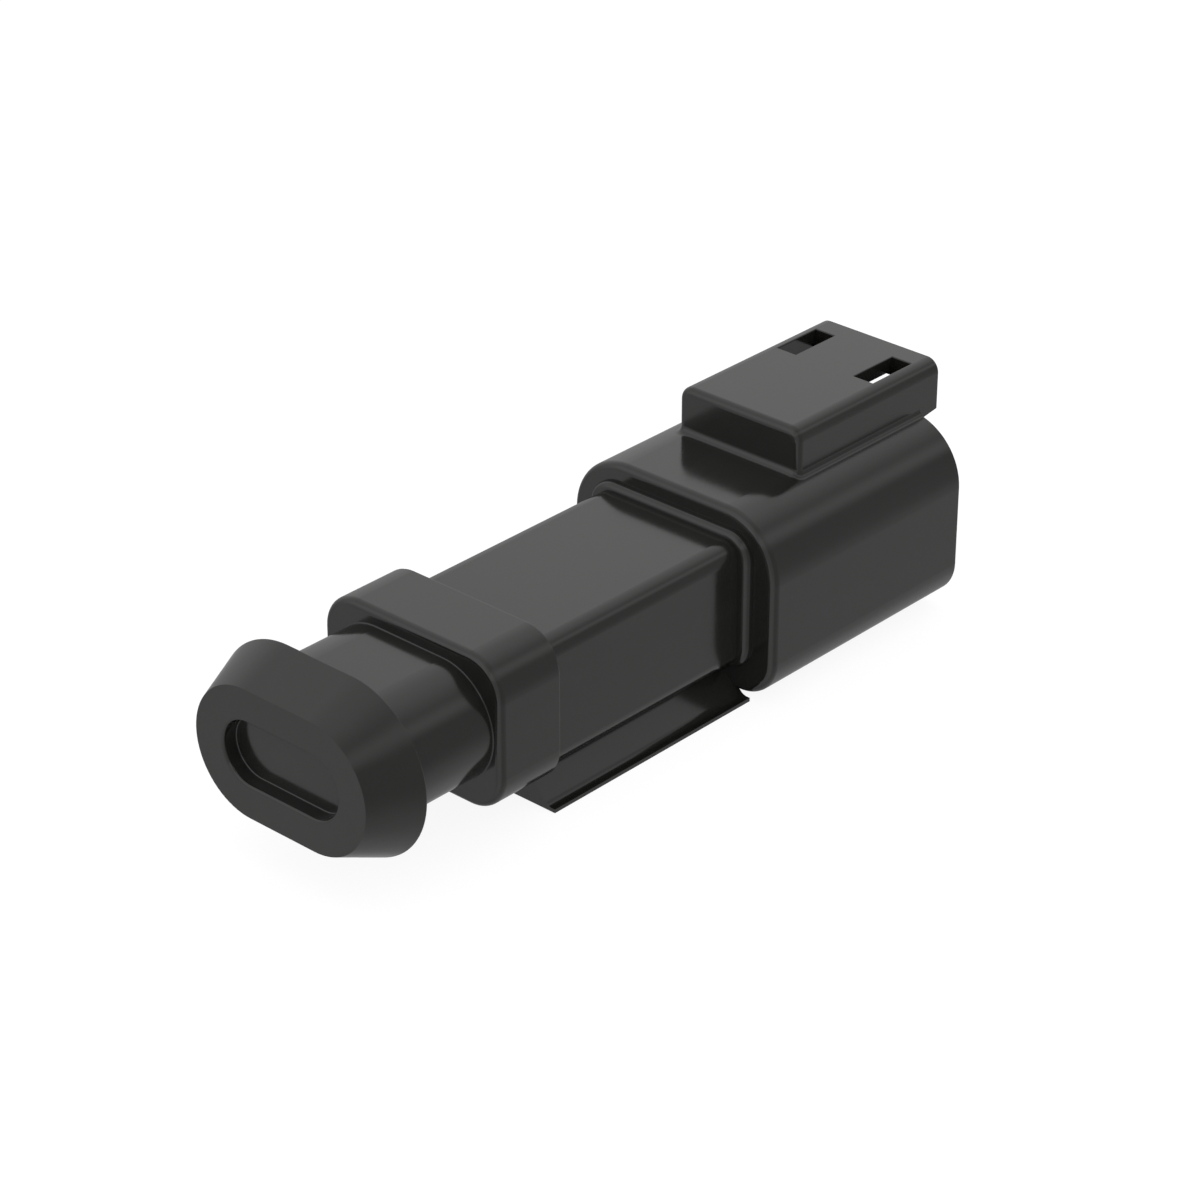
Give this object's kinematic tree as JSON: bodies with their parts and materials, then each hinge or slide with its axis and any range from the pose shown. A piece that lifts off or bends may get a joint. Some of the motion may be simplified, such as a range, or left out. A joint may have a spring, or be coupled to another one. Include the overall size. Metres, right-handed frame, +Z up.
{
  "type": "sealed automotive connector",
  "caption": "Sealed pin connector half: rounded mating shroud with a latch tower, dovetail mounting rail, and a closed flared boot adapter on the rear.",
  "frame": {"origin": "middle of the foot of the mounting rail, on the plane it stands on", "axes": "+X along the connector out of the mating shroud, +Y to the left seen along +X, +Z up through the latch tower"},
  "size_m": [0.0689, 0.0214, 0.0207],
  "materials": {
    "housing_plastic": "satin charcoal-black moulded plastic",
    "adapter_plastic": "satin charcoal-black moulded plastic",
    "seal_rubber": "soft silicone rubber",
    "wedge_plastic": "smooth orange moulded plastic",
    "contact_metal": "nickel-plated copper alloy, turned"
  },
  "bodies": {
    "connector": {"housing": "housing_plastic", "boot_adapter": "adapter_plastic", "wire_seal": "seal_rubber", "contact_pin_left": "contact_metal", "contact_pin_right": "contact_metal"},
    "wedge": {"wedge_lock": "wedge_plastic"}
  },
  "joints": [
    {"name": "wedge_slide", "type": "slide", "parent": "connector", "child": "wedge", "axis": [1, 0, 0], "range_m": [0, 0.006]}
  ]
}
